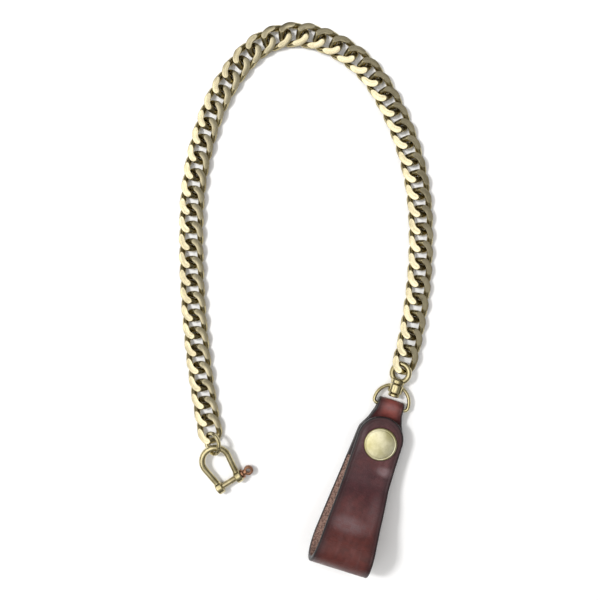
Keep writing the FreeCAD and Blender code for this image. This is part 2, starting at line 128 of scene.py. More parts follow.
def surface(name, points, closed=False, sharp_angle=35.0, **attributes):
    """A mesh object from a grid of points in millimetres; attributes are one value a point."""
    places, faces = skin(points, closed)
    mesh = bpy.data.meshes.new(name)
    mesh.from_pydata((places * MM).tolist(), [], faces)
    mesh.shade_smooth()
    mesh.set_sharp_from_angle(angle=math.radians(sharp_angle))
    for label, values in attributes.items():
        layer = mesh.attributes.new(label, "FLOAT", "POINT")
        layer.data.foreach_set("value", np.ravel(values).astype(np.float32))
    piece = bpy.data.objects.new(name, mesh)
    bpy.context.scene.collection.objects.link(piece)
    return piece


def evenly(track, count, closed=False):
    """The same track as `count` points at equal steps of its length."""
    if closed:
        track = np.vstack([track, track[:1]])
    along = np.concatenate([[0.0], np.cumsum(np.linalg.norm(np.diff(track, axis=0), axis=1))])
    wanted = np.linspace(0.0, along[-1], count, endpoint=not closed)
    return np.stack([np.interp(wanted, along, column) for column in track.T], axis=1)


def arc(centre, first, second, start, end, steps=24):
    """centre + cos(angle) first + sin(angle) second, with the angle going from start to end."""
    angle = np.radians(np.linspace(start, end, steps))[:, None]
    return np.array(centre) + np.cos(angle) * np.array(first) + np.sin(angle) * np.array(second)


def rounded_loop(corners, radius):
    """A closed loop of straight runs with an arc of the radius in each corner."""
    runs = []
    for number, corner in enumerate(corners):
        back = unit(corners[number - 1] - corner)
        ahead = unit(corners[(number + 1) % len(corners)] - corner)
        half_angle = math.acos(back @ ahead) / 2
        centre = corner + unit(back + ahead) * radius / math.sin(half_angle)
        start = corner + back * radius / math.tan(half_angle) - centre
        runs.append(arc(centre, start, -back * radius, 0, 180 - 2 * math.degrees(half_angle)))
    return np.concatenate(runs)


def tangents(path, closed):
    """Each point's heading: from the point before it to the point after it."""
    if closed:
        return unit(np.roll(path, -1, axis=0) - np.roll(path, 1, axis=0))
    return unit(np.gradient(path, axis=0))


def tube(path, radius, reference, sides=24, closed=False):
    """path + radius (cos v e + sin v f): e is the reference squared to the path, f = t x e."""
    reference = np.array(reference, float)
    heading = tangents(path, closed)
    level = unit(reference - (heading @ reference)[:, None] * heading)
    other = np.cross(heading, level)
    angle = np.linspace(0, 2 * np.pi, sides, endpoint=False)[None, :, None]
    width = np.broadcast_to(np.asarray(radius, float), len(path))[:, None, None]
    ring = np.cos(angle) * level[:, None] + np.sin(angle) * other[:, None]
    return path[:, None] + width * ring


def turned(profile, centre, axis, sides=64):
    """A profile of (distance along the axis, radius) spun about the axis through the centre."""
    axis = unit(np.array(axis, float))
    helper = np.array([0.0, 0.0, 1.0]) if abs(axis[2]) < 0.9 else np.array([1.0, 0.0, 0.0])
    path = np.array(centre, float) + np.array(profile)[:, :1] * axis
    angle = np.linspace(0, 2 * np.pi, sides, endpoint=False)
    first = unit(helper - (helper @ axis) * axis)
    second = np.cross(axis, first)
    spoke = np.cos(angle)[:, None] * first + np.sin(angle)[:, None] * second
    return path[:, None] + np.array(profile)[:, 1][:, None, None] * spoke


print("a closed grid of 3 by 4 points has", len(grid_faces(3, 4, closed=True)[0]), "faces")


# %% [markdown]
# ## Shared effects
#
# Brass that is carried every day has three things on top of its colour: fine hairline marks
# from rubbing, a slow cloudiness where it has tarnished, and small dents. Leather has pores and
# creases. Each effect is a node group that puts out a number between 0 and 1, so that every
# material can use it at its own strength.


# %% Node helpers and effect groups
def node(tree, kind, inputs=None, **settings):
    """Adds a shader node, sets its properties, and fills or links its inputs."""
    made = tree.nodes.new("ShaderNode" + kind)
    for field, value in settings.items():
        setattr(made, field, value)
    for field, value in (inputs or {}).items():
        socket = made.inputs[field]
        if isinstance(value, bpy.types.NodeSocket):
            tree.links.new(value, socket)
        else:
            socket.default_value = value
    return made


def maths(tree, operation, first, second=0.0, clamp=False):
    """One arithmetic node's result."""
    made = node(tree, "Math", {0: first, 1: second}, operation=operation, use_clamp=clamp)
    return made.outputs[0]


def ramp(tree, value, low, high, start=0.0, end=1.0):
    """A smooth step of the value, from start at low to end at high."""
    made = node(
        tree, "MapRange",
        {"Value": value, "From Min": low, "From Max": high, "To Min": start, "To Max": end},
        interpolation_type="SMOOTHSTEP",
    )
    return made.outputs["Result"]


def blend_colours(tree, share, first, second, kind="MIX"):
    """The first colour where the share is 0 and the second where it is 1."""
    made = node(tree, "Mix", {"Factor": share}, data_type="RGBA", blend_type=kind)
    for socket, value in zip((made.inputs[6], made.inputs[7]), (first, second)):
        if isinstance(value, bpy.types.NodeSocket):
            tree.links.new(value, socket)
        else:
            socket.default_value = value
    return made.outputs[2]


def effect(name, defaults):
    """An empty effect group: Vector and numbers go in, and one Mask comes out."""
    group = bpy.data.node_groups.new(name, "ShaderNodeTree")
    group.interface.new_socket(name="Vector", in_out="INPUT", socket_type="NodeSocketVector")
    for label, value in defaults.items():
        socket = group.interface.new_socket(
            name=label, in_out="INPUT", socket_type="NodeSocketFloat",
        )
        socket.default_value = value
    group.interface.new_socket(name="Mask", in_out="OUTPUT", socket_type="NodeSocketFloat")
    return group, group.nodes.new("NodeGroupInput"), group.nodes.new("NodeGroupOutput")


def finish_effect(group, given, result, mask):
    """Scales the mask by the group's Amount and puts it out."""
    group.links.new(maths(group, "MULTIPLY", mask, given.outputs["Amount"]), result.inputs["Mask"])
    return group


def use(tree, group, vector, **values):
    """Places an effect group in a material and gives its mask."""
    made = tree.nodes.new("ShaderNodeGroup")
    made.node_tree = group
    tree.links.new(vector, made.inputs["Vector"])
    for label, value in values.items():
        made.inputs[label].default_value = value
    return made.outputs["Mask"]


def hairlines_group():
    """Thin streaks in three directions: noise squeezed along each of them, kept at its peaks."""
    group, given, result = effect("hairline_marks", {"Scale": 900.0, "Amount": 0.5})
    total = 0.0
    for turn in (0.3, 1.5, 2.4):
        lined_up = node(
            group, "Mapping",
            {"Vector": given.outputs["Vector"], "Rotation": (0.4, 0.2, turn),
             "Scale": (1.0, 0.06, 1.0)},
        )
        noise = node(
            group, "TexNoise",
            {"Vector": lined_up.outputs[0], "Scale": given.outputs["Scale"], "Detail": 3.0},
        )
        streak = ramp(group, noise.outputs["Fac"], 0.56, 0.72)
        total = maths(group, "MAXIMUM", streak, total)
    return finish_effect(group, given, result, total)


def tarnish_group():
    """Slow clouds broken up by finer ones."""
    group, given, result = effect("tarnish_clouds", {"Scale": 120.0, "Amount": 1.0})
    broad = node(
        group, "TexNoise",
        {"Vector": given.outputs["Vector"], "Scale": given.outputs["Scale"], "Detail": 5.0,
         "Roughness": 0.6},
    )
    return finish_effect(group, given, result, ramp(group, broad.outputs["Fac"], 0.35, 0.68))


def dents_group():
    """Shallow round dents: the inside of scattered cells."""
    group, given, result = effect("small_dents", {"Scale": 700.0, "Amount": 1.0})
    cells = node(
        group, "TexVoronoi", {"Vector": given.outputs["Vector"], "Scale": given.outputs["Scale"]},
    )
    return finish_effect(group, given, result, ramp(group, cells.outputs["Distance"], 0.05, 0.45))


hairlines = hairlines_group()
tarnish = tarnish_group()
dents = dents_group()
print("effect groups:", [group.name for group in bpy.data.node_groups])

# %% [markdown]
# ## Brass
#
# Every metal piece is solid brass, but not in the same state. The chain's flats were ground and
# polished, while its round sides kept a duller skin. The castings are satin, the pin's head has
# gone coppery, and the snap cap is brushed round its centre. So one function makes brass, and
# each piece gives it its own colours, gloss and marks.


# %% Brass materials
def begin_material(name):
    """A new material with its shader, and Object coordinates to pattern it with."""
    material = bpy.data.materials.new(name)
    material.use_nodes = True
    tree = material.node_tree
    shader = tree.nodes["Principled BSDF"]
    place = node(tree, "TexCoord").outputs["Object"]
    return material, tree, shader, place


def brass(name, bright, dull, gloss, mark_depth, dull_share=0.7, flats=None, head=None):
    """Brass between a bright and a dull colour; gloss is its lowest and highest roughness.

    With flats, the ground flats take a colour and roughness of their own by the piece's
    "ground" attribute. With head, everything past a point along an axis takes another colour.
    """
    material, tree, shader, place = begin_material(name)
    cloud = use(tree, tarnish, place, Scale=160.0, Amount=dull_share)
    lines = use(tree, hairlines, place, Scale=900.0, Amount=1.0)
    pits = use(tree, dents, place, Scale=620.0, Amount=1.0)
    colour = blend_colours(tree, cloud, bright, dull)
    rough = maths(tree, "ADD", ramp(tree, cloud, 0.0, 1.0, gloss[0], gloss[1]),
                  maths(tree, "MULTIPLY", lines, 0.07))
    if flats:
        ground = node(tree, "Attribute", attribute_name="ground").outputs["Fac"]
        half_cloud = maths(tree, "MULTIPLY", cloud, 0.5)
        polished = blend_colours(tree, half_cloud, flats["bright"], flats["dull"])
        colour = blend_colours(tree, ground, colour, polished)
        flat_rough = maths(tree, "ADD", maths(tree, "MULTIPLY", lines, 0.10), flats["roughness"])
        mixed = node(tree, "Mix", {"Factor": ground}, data_type="FLOAT")
        tree.links.new(rough, mixed.inputs[2])
        tree.links.new(flat_rough, mixed.inputs[3])
        rough = mixed.outputs[0]
    if head:
        start, axis = head["start"] * MM, head["axis"]
        offset = node(tree, "VectorMath", {0: place, 1: tuple(start)}, operation="SUBTRACT")
        along = node(
            tree, "VectorMath", {0: offset.outputs[0], 1: tuple(axis)}, operation="DOT_PRODUCT",
        )
        past = ramp(tree, along.outputs["Value"], -0.2 * MM, 0.2 * MM)
        aged = blend_colours(tree, cloud, head["bright"], head["dull"])
        colour = blend_colours(tree, past, colour, aged)
    relief = maths(tree, "SUBTRACT", maths(tree, "MULTIPLY", pits, 0.5), lines)
    bump = node(tree, "Bump", {"Height": relief, "Strength": 0.35, "Distance": mark_depth * MM})
    tree.links.new(colour, shader.inputs["Base Color"])
    tree.links.new(rough, shader.inputs["Roughness"])
    tree.links.new(bump.outputs["Normal"], shader.inputs["Normal"])
    shader.inputs["Metallic"].default_value = 1.0
    return material


chain_brass = brass(
    "chain_brass", bright=(0.50, 0.43, 0.24, 1), dull=(0.22, 0.17, 0.08, 1),
    gloss=(0.16, 0.34), mark_depth=0.025,
    flats={"bright": (0.72, 0.64, 0.43, 1), "dull": (0.42, 0.35, 0.19, 1), "roughness": 0.15},
)
cast_brass = brass(
    "cast_brass", bright=(0.66, 0.58, 0.34, 1), dull=(0.26, 0.21, 0.09, 1),
    gloss=(0.12, 0.28), mark_depth=0.025,
)
wire_brass = brass(
    "wire_brass", bright=(0.72, 0.64, 0.40, 1), dull=(0.34, 0.28, 0.13, 1),
    gloss=(0.12, 0.26), mark_depth=0.015,
)
snap_inner = brass(
    "snap_inner_brass", bright=(0.60, 0.52, 0.28, 1), dull=(0.42, 0.34, 0.16, 1),
    gloss=(0.25, 0.4), mark_depth=0.02,
)
print("brass finishes made")

# %% [markdown]
# ## One curb link
#
# A curb link starts as a loop of round wire that is twisted, so that the links lie flat in a
# row, and both faces of the chain are then ground. Cutting a bent tube with a boolean leaves
# ragged triangles along the cut. Here the cut is worked out in each section instead: a plane
# crosses the round section along a chord, so the section is drawn as arc, chord, arc, chord.
# Grid lines then run exactly along the ground edges, and each edge gets a narrow bevel.

# %% The link's surface
LINK_REACH, LINK_HALF_WIDTH, LINK_BEND, LINK_WIRE = 5.45, 4.0, 3.14, 2.8
LINK_TWIST, FACE_SLOPE, FACE_RIDGE = 38.0, 13.0, 2.15
LINK_ROWS = 112
EDGE_BEVEL = 0.12
LEAST_CUT, MOST_CUT = math.radians(5), math.radians(165)
LEAST_FLAT = 1.5 * LEAST_CUT
CHORD_STEPS = 1
ARC_STEPS = 7


def cut_angles(normal, centre, heading, radius):
    """A plane's direction in each section, and half the angle of the arc it takes off.

    With g the part of the normal that lies in the section, the plane cuts where
    cos(half angle) = (plane distance - normal . centre) / (radius |g|).
    """
    lying = normal - np.sum(normal * heading, axis=1)[:, None] * heading
    length = np.linalg.norm(lying, axis=1)
    distance = FACE_RIDGE * math.cos(math.radians(FACE_SLOPE)) - np.sum(normal * centre, axis=1)
    half = np.arccos(np.clip(distance / (radius * length), -1, 1))
    return lying / length[:, None], np.clip(half, LEAST_CUT, MOST_CUT)


def shares(length, inner):
    """Fractions along a run: its start, a bevel's width in, even steps, and a bevel's width out."""
    edge = np.minimum(EDGE_BEVEL / length, 0.3)[:, None]
    middle = np.linspace(0, 1, inner + 2)[None, 1:-1] if inner else np.zeros((1, 0))
    middle = edge + (1 - 2 * edge) * middle
    return np.concatenate([np.zeros_like(edge), edge, middle, 1 - edge], axis=1)


def curb_link_grid():
    """Rows round the twisted loop; columns: upper flat, one side, lower flat, other side."""
    rise = LINK_HALF_WIDTH * math.tan(math.radians(LINK_TWIST))
    corners = np.array([
        [LINK_REACH, -LINK_HALF_WIDTH, rise],
        [LINK_REACH, LINK_HALF_WIDTH, -rise],
        [-LINK_REACH, LINK_HALF_WIDTH, rise],
        [-LINK_REACH, -LINK_HALF_WIDTH, -rise],
    ])
    centre = evenly(rounded_loop(corners, LINK_BEND), LINK_ROWS, closed=True)
    heading = tangents(centre, closed=True)
    radius = LINK_WIRE / 2
    slope = math.radians(FACE_SLOPE)
    lean = np.sign(centre[:, 1]) * math.sin(slope)
    rise_share = np.full(LINK_ROWS, math.cos(slope))
    flat_normal = np.stack([np.zeros(LINK_ROWS), lean, rise_share], axis=1)
    upper, upper_half = cut_angles(flat_normal, centre, heading, radius)
    lower, lower_half = cut_angles(flat_normal * [1, 1, -1], centre, heading, radius)
    other = np.cross(heading, upper)
    lower_angle = np.arctan2(np.sum(lower * other, axis=1), np.sum(lower * upper, axis=1))
    lower_angle = lower_angle % (2 * np.pi)
    stops = [-upper_half, upper_half, lower_angle - lower_half, lower_angle + lower_half]
    stops.append(2 * np.pi - upper_half)

    def on_round(angle):
        """centre + radius (cos a upper + sin a other), for the angles of every section."""
        angle = angle[..., None]
        spoke = np.cos(angle) * upper[:, None] + np.sin(angle) * other[:, None]
        return centre[:, None] + radius * spoke

    columns, ground = [], []
    for number in range(4):
        first, last = stops[number][:, None], stops[number + 1][:, None]
        if number % 2 == 0:
            start, end = on_round(first), on_round(last)
            chord = np.linalg.norm(end - start, axis=2)[:, 0]
            share = shares(chord, CHORD_STEPS)
            columns.append(start + share[..., None] * (end - start))
            half = (stops[number + 1] - stops[number]) / 2
            wide_enough = np.repeat((half > LEAST_FLAT)[:, None], share.shape[1], axis=1)
            on_flat = wide_enough.astype(float)
            on_flat[:, 0] = 0.0
            ground.append(on_flat)
        else:
            share = shares(radius * (last - first)[:, 0], ARC_STEPS)
            columns.append(on_round(first + share * (last - first)))
            ground.append(np.zeros(share.shape))
    points = np.concatenate(columns, axis=1)
    starts = np.cumsum([0] + [block.shape[1] for block in columns[:-1]])
    around = (points[:, starts - 1] + points[:, starts + 1]) / 2
    points[:, starts] = (points[:, starts] + around) / 2
    return points, np.concatenate(ground, axis=1)


link_points, link_ground = curb_link_grid()
print("a link has", link_points.shape[0] * link_points.shape[1], "points")

# %% [markdown]
# ## Forty-eight links in a row
#
# The chain's joints say where each link starts and ends: a link's long direction runs from its
# own joint to the next one, and its width lies level. Real links never sit perfectly alike, so
# each is rocked by well under a degree, from a seeded generator. That small rocking is what
# makes the flats of a real chain flash one by one.

# %% Lay the links along the chain
ROCK = math.radians(0.7)
link_names = sorted(name for name in frame["nodes"] if name.startswith("chain_link_"))
pivots = np.array([joint_place(f"link_{name[-2:]}_bend") for name in link_names])
pivots = np.vstack([pivots, joint_place("jump_ring_turn")])
PITCH = float(np.linalg.norm(pivots[1] - pivots[0]))


def link_axes(start, end, rock):
    """Rows: the link's length, its level width and its height, rocked by two small angles."""
    along = unit(end - start)
    across = unit(np.cross([0.0, 0.0, 1.0], along))
    above = np.cross(along, across)
    across, above = across + rock[0] * above, above - rock[0] * across
    along, above = along + rock[1] * above, above - rock[1] * along
    return np.stack([unit(along), unit(across), unit(above)])


for number, name in enumerate(link_names):
    rock = random.normal(0, ROCK, 2).clip(-ROCK, ROCK)
    axes = link_axes(pivots[number], pivots[number + 1], rock)
    middle = pivots[number] + unit(pivots[number + 1] - pivots[number]) * PITCH / 2
    placed = middle + link_points @ axes
    link = surface("curb_link_" + name[-2:], placed, closed=True, ground=link_ground)
    link.data.materials.append(chain_brass)
    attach(link, name)
    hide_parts(name)
print(len(link_names), "links, pitch", round(PITCH, 2), "mm")

# %% [markdown]
# ## Castings: the swivel, the D-ring, the shackle and its pin
#
# These pieces are cast or forged, so their parts run into each other in small soft fillets. One
# way is to model every fillet. A quicker one is to make the plain shapes as separate shells,
# let them run through each other, and wrap a fine skin over the whole with a voxel remesh. A
# few rounds of smoothing then leave a fillet in each inner corner, as a casting has. The work
# is done in millimetres, because voxels of a tenth of a millimetre are too small in metres.


# %% Wrap overlapping shells into one casting
def joined_shells(name, shells):
    """Several grids as one mesh in millimetres; a grid in a tuple is closed on itself."""
    places, faces, start = [], [], 0
    for shell in shells:
        closed = isinstance(shell, tuple)
        shell_places, shell_faces = skin(shell[0] if closed else shell, closed)
        places.append(shell_places)
        faces += [[start + corner for corner in face] for face in shell_faces]
        start += len(shell_places)
    mesh = bpy.data.meshes.new(name)
    mesh.from_pydata(np.concatenate(places).tolist(), [], faces)
    return mesh


def vertex_places(mesh):
    """The places of a mesh's vertices as one array."""
    places = np.zeros(len(mesh.vertices) * 3, np.float32)
    mesh.vertices.foreach_get("co", places)
    return places.reshape(-1, 3).astype(float)


def casting(name, shells, voxel, rounds):
    """One skin round all the shells, with voxels of this size, then this many smoothings."""
    whole = bpy.data.objects.new(name, joined_shells(name, shells))
    bpy.context.scene.collection.objects.link(whole)
    wrap = whole.modifiers.new("wrap", "REMESH")
    wrap.mode = "VOXEL"
    wrap.voxel_size = voxel
    soften = whole.modifiers.new("soften", "SMOOTH")
    soften.factor = 0.5
    soften.iterations = rounds
    depsgraph = bpy.context.evaluated_depsgraph_get()
    mesh = bpy.data.meshes.new_from_object(whole.evaluated_get(depsgraph))
    bpy.data.objects.remove(whole)
    mesh.vertices.foreach_set("co", (vertex_places(mesh) * MM).astype(np.float32).ravel())
    mesh.name = name
    mesh.shade_smooth()
    piece = bpy.data.objects.new(name, mesh)
    bpy.context.scene.collection.objects.link(piece)
    return piece


def belongs(piece, body, material):
    """Gives a finished piece its material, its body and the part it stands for."""
    piece.data.materials.append(material)
    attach(piece, body)
    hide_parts(body)
    print(piece.name, len(piece.data.polygons), "faces")


AXIS_GAP = 0.02


def rounded_rod(start, end, radius, edge, steps=5):
    """Profile of a rod from start to end whose two rims are rounded by `edge`.

    Its ends stop a hair short of the axis, because a ring of no radius has no faces.
    """
    turn = np.radians(np.linspace(0, 90, steps))
    near = np.stack([start + edge * (1 - np.cos(turn)), radius - edge * (1 - np.sin(turn))], axis=1)
    far = np.stack([end - edge * (1 - np.sin(turn)), radius - edge * (1 - np.cos(turn))], axis=1)
    return np.vstack([[[start, AXIS_GAP]], near, far, [[end, AXIS_GAP]]])


def rounded_ring(start, end, inner, outer, edge):
    """The same profile with a bore: it runs back along the inner radius, so it closes."""
    rim = rounded_rod(start, end, outer, edge)[1:-1]
    return np.vstack([[[start, inner]], rim, [[end, inner]]])


print("castings are wrapped in millimetres and brought back to metres")

# %% [markdown]
# ### The D-ring
#
# A wire bent to a D, with a thick boss at its top that is bored for the swivel. The wire could
# run straight through the boss, but it would then fill the bore. So it stops at both sides of
# the boss, an angle short of the top, and the boss is spun with its bore already in it.

# %% Make the D-ring
RING_WIRE, RING_HALF_WIDTH, RING_CORNER, RING_SHOULDER = 1.6, 7.7, 1.6, 2.0
BOSS_START, BOSS_END, BOSS_RADIUS, BOSS_EDGE = 6.2, 10.3, 3.2, 0.6
BOSS_BORE = 1.56
BOSS_ENTRY = 14.5
FINE_VOXEL, FEW_ROUNDS = 0.1, 3
Y_AXIS = np.array([0.0, 1.0, 0.0])
UP = np.array([0.0, 0.0, 1.0])


def d_path():
    """Down from the boss, round two small corners with the straight bar between, and up again."""
    inner = RING_HALF_WIDTH - RING_CORNER
    small = [RING_CORNER, 0, 0], [0, RING_CORNER, 0]
    big = [RING_HALF_WIDTH, 0, 0], [0, RING_HALF_WIDTH, 0]
    run = np.concatenate([
        arc([0, RING_SHOULDER, 0], *big, 90 + BOSS_ENTRY, 180, 40),
        arc([-inner, RING_CORNER, 0], *small, 180, 270),
        arc([inner, RING_CORNER, 0], *small, -90, 0),
        arc([0, RING_SHOULDER, 0], *big, 0, 90 - BOSS_ENTRY, 40),
    ])
    return bar + evenly(run, 160)


wire = tube(d_path(), RING_WIRE / 2, UP)
boss_profile = rounded_ring(BOSS_START, BOSS_END, BOSS_BORE, BOSS_RADIUS, BOSS_EDGE)
boss = turned(boss_profile, bar, Y_AXIS)
d_ring = casting("d_ring_casting", [wire, (boss,)], FINE_VOXEL, FEW_ROUNDS)
belongs(d_ring, "d_ring", cast_brass)

# %% [markdown]
# ### The swivel eye
#
# The eye holds the chain's first link and turns on a post through the boss. Below the boss the
# post's end is hammered out into a head, the peen, so that it can't be pulled out. All of it is
# spun about one axis except the eye, which is a closed ring, tilted as the first link needs it.

# %% Make the swivel eye
EYE_WIRE, EYE_RADIUS, EYE_CENTRE = 2.4, 3.9, 15.55
EYE_TILT = math.radians(-28)
COLLAR_FROM, COLLAR_TO, COLLAR_RADIUS, COLLAR_EDGE = 10.5, 12.4, 3.1, 0.45
POST_FROM, POST_TO, POST_RADIUS, POST_EDGE = 4.5, 12.0, 1.5, 0.1
PEEN_TO, PEEN_RADIUS, PEEN_EDGE = 6.0, 2.5, 0.6
eye_across = np.array([math.cos(EYE_TILT), 0.0, -math.sin(EYE_TILT)])
eye_above = np.cross(eye_across, Y_AXIS)
eye_middle = bar + EYE_CENTRE * Y_AXIS
eye_path = arc(eye_middle, EYE_RADIUS * eye_across, EYE_RADIUS * Y_AXIS, 0, 360, 97)[:-1]
eye_ring = tube(eye_path, EYE_WIRE / 2, eye_above, closed=True)
collar = turned(rounded_rod(COLLAR_FROM, COLLAR_TO, COLLAR_RADIUS, COLLAR_EDGE), bar, Y_AXIS)
post = turned(rounded_rod(POST_FROM, POST_TO, POST_RADIUS, POST_EDGE), bar, Y_AXIS)
peen = turned(rounded_rod(POST_FROM, PEEN_TO, PEEN_RADIUS, PEEN_EDGE), bar, Y_AXIS)
swivel = casting("swivel_eye_casting", [(eye_ring,), collar, post, peen], FINE_VOXEL, FEW_ROUNDS)
belongs(swivel, "swivel_eye", cast_brass)

# %% [markdown]
# ### The jump ring
#
# A ring of drawn wire, sawn through so that it can be opened, joins the last link to the
# shackle. It isn't cast, so it stays a plain tube with a lid on each side of the saw cut. The
# working model's ring lies in one plane, and the direction in which its points spread least is
# that plane's normal, which a singular value decomposition gives.

# %% Make the jump ring
JUMP_WIRE, JUMP_RADIUS = 1.8, 4.55
SAW_CUT = 1.2
ring_low, ring_high = node_box("jump_ring")
ring_centre = (ring_low + ring_high) / 2
ring_points = vertex_places(frame["nodes"]["jump_ring"].data) / MM
ring_normal = np.linalg.svd(ring_points - ring_centre, full_matrices=False)[2][2]
ring_first = JUMP_RADIUS * unit(np.cross(ring_normal, Y_AXIS))
ring_second = np.cross(ring_normal, ring_first)
ring_path = arc(ring_centre, ring_first, ring_second, SAW_CUT, 360 - SAW_CUT, 120)
jump_ring = surface("jump_ring_wire", tube(ring_path, JUMP_WIRE / 2, ring_normal, 32))
belongs(jump_ring, "jump_ring", wire_brass)

# %% [markdown]
# ### The shackle's bow
#
# The bow is forged from round bar: a half circle that opens a little wider than its legs, with
# an ear bored for the pin at the end of each. The bar is at its full thickness at the crest and
# a few hundredths thinner at the ears, as forging leaves it. Each leg ends in the wall of its
# ear, short of the bore, so that the pin's hole stays open.

# %% Make the shackle's bow
pin_axis = unit(np.array(joints["pin_withdraw"]["axis"]))
crest = joint_place("shackle_swing")
mouth = next(mount for mount in frame["record"]["mounts"] if mount["name"] == "shackle_mouth")
toward_crest = unit(crest - np.array(mouth["pos_m"]) / MM)
BOW_RADIUS, BOW_CENTRE, BOW_WIRE, BOW_FLARE = 6.0, 11.1, 2.8, 7.0
BOW_TAPER = 0.03
EAR_START, EAR_END, EAR_RADIUS, EAR_EDGE = 3.3, 6.3, 2.7, 0.55
BORE_RADIUS = 1.38
LEG_END = 1.75
BOW_VOXEL, BOW_ROUNDS = 0.11, 4
pin_middle = crest - toward_crest * (BOW_CENTRE + BOW_RADIUS)
bow_normal = np.cross(pin_axis, toward_crest)


def bow_path():
    """Over half a circle round the bow's centre, then two straight legs in to the ears."""
    centre = pin_middle + BOW_CENTRE * toward_crest
    sideways, ahead = BOW_RADIUS * pin_axis, BOW_RADIUS * toward_crest
    crown = arc(centre, sideways, ahead, -BOW_FLARE, 180 + BOW_FLARE, 80)
    ear_middle = (EAR_START + EAR_END) / 2
    first = pin_middle + ear_middle * pin_axis + LEG_END * toward_crest
    last = pin_middle - ear_middle * pin_axis + LEG_END * toward_crest
    return evenly(np.vstack([first, crown, last]), 150)


bow_track = bow_path()
from_crest = np.linspace(-1, 1, len(bow_track))
bow_radius = BOW_WIRE / 2 * (1 - BOW_TAPER + BOW_TAPER * np.cos(np.pi * from_crest))
bow_wire = tube(bow_track, bow_radius, bow_normal, 32)
ear_profiles = [
    rounded_ring(start, end, BORE_RADIUS, EAR_RADIUS, EAR_EDGE)
    for start, end in ((EAR_START, EAR_END), (-EAR_END, -EAR_START))
]
ears = [(turned(profile, pin_middle, pin_axis),) for profile in ear_profiles]
bow = casting("shackle_bow_casting", [bow_wire] + ears, BOW_VOXEL, BOW_ROUNDS)
belongs(bow, "shackle_bow", cast_brass)

# %% [markdown]
# ### The screw pin
#
# The pin is a turned shaft with a collar that stops on the ear, and a flat lug with a hole for
# a marlinspike. Its head has aged to a copper brown while the shaft, which slides in the ears,
# has kept its colour. One material does both: it changes where the collar begins.

# %% Make the screw pin
PIN_RADIUS, PIN_PAST_EAR, PIN_EDGE = 1.3, 0.3, 0.25
HEAD_START = EAR_END + 0.1
HEAD_COLLAR_END, HEAD_COLLAR_RADIUS, HEAD_COLLAR_EDGE = EAR_END + 1.25, 2.1, 0.3
LUG_CENTRE, LUG_RADIUS, LUG_HALF_THICKNESS, LUG_HOLE, LUG_EDGE = 10.0, 2.1, 1.2, 1.0, 0.5
shaft_profile = rounded_rod(-EAR_END - PIN_PAST_EAR, LUG_CENTRE - LUG_HOLE, PIN_RADIUS, PIN_EDGE)
shaft = turned(shaft_profile, pin_middle, pin_axis)
head_profile = rounded_rod(HEAD_START, HEAD_COLLAR_END, HEAD_COLLAR_RADIUS, HEAD_COLLAR_EDGE)
head_collar = turned(head_profile, pin_middle, pin_axis)
lug_profile = rounded_ring(-LUG_HALF_THICKNESS, LUG_HALF_THICKNESS, LUG_HOLE, LUG_RADIUS, LUG_EDGE)
lug = turned(lug_profile, pin_middle + LUG_CENTRE * pin_axis, bow_normal)
pin_brass = brass(
    "pin_brass", bright=(0.55, 0.48, 0.29, 1), dull=(0.27, 0.21, 0.10, 1),
    gloss=(0.20, 0.38), mark_depth=0.03,
    head={"start": pin_middle + HEAD_START * pin_axis, "axis": pin_axis,
          "bright": (0.42, 0.22, 0.13, 1), "dull": (0.13, 0.055, 0.03, 1)},
)
pin = casting("screw_pin_turned", [shaft, head_collar, (lug,)], FINE_VOXEL, FEW_ROUNDS)
belongs(pin, "shackle_pin", pin_brass)

# %% [markdown]
# ## The leather strip
#
# The belt loop is one strip of thick leather. It starts at the tab behind the snap, goes up and
# round the D-ring's bar, down the back, round the lower bend and up the front to a round end.
# Its line is easy to write down as seen from the side, and its width as a function of the
# place along it. Leather has no sharp edges: they are beaten and burnished round, so the
# thickness falls away towards the outline along a rounded curve. The strip is cut into three
# surfaces, because the front swings away from the back when the snap is opened, and only the
# lower bend between them has to bend.

# %% The strip's line and width
THICKNESS = 2.2
BAR_GAP = 0.25
FOLD_RADIUS = RING_WIRE / 2 + BAR_GAP + THICKNESS / 2
BACK_Z = THICKNESS / 2
TAB_Z, TAB_END, TAB_EASE = 3.45, -25.5, 6.5
BEND_Y, BEND_Z, BEND_RADIUS = -63.0, 10.0, 8.9
FLAP_Z, FLAP_KINK_Y, KINK_LENGTH = 8.1, -30.0, 3.0
SNAP_Y, FLAP_END_Y, FLAP_END_RADIUS = -16.3, -14.5, 10.1
SWELL, SWELL_LENGTH = 0.3, 17.0
SWELL_FADE = 6.0
STEP = 0.55
front_run, front_rise = FLAP_KINK_Y - BEND_Y, BEND_Z - FLAP_Z
leaving = math.asin(BEND_RADIUS / math.hypot(front_run, front_rise))
FRONT_SLOPE = math.degrees(math.atan2(front_rise, front_run) + leaving)


def side_run(y, z):
    """Points in the side view, as x, y, z with x left at 0."""
    return np.stack([np.zeros_like(y), y, z], axis=1)


def smooth_step(value):
    """3 v^2 - 2 v^3, held between 0 and 1."""
    value = np.clip(value, 0, 1)
    return value * value * (3 - 2 * value)


def back_line():
    """Tab, ease up to the fold, half a turn round the bar, and the flat back."""
    y = np.linspace(TAB_END, 0, 60)
    top = BACK_Z + 2 * FOLD_RADIUS
    tab = side_run(y, TAB_Z + (top - TAB_Z) * smooth_step(1 + y / TAB_EASE))
    fold_middle = [0, 0, BACK_Z + FOLD_RADIUS]
    fold = arc(fold_middle, [0, FOLD_RADIUS, 0], [0, 0, FOLD_RADIUS], 90, -90, 40)
    floor = side_run(np.linspace(0, BEND_Y, 60), np.full(60, BACK_Z))
    return np.concatenate([tab, fold[1:], floor[1:]])


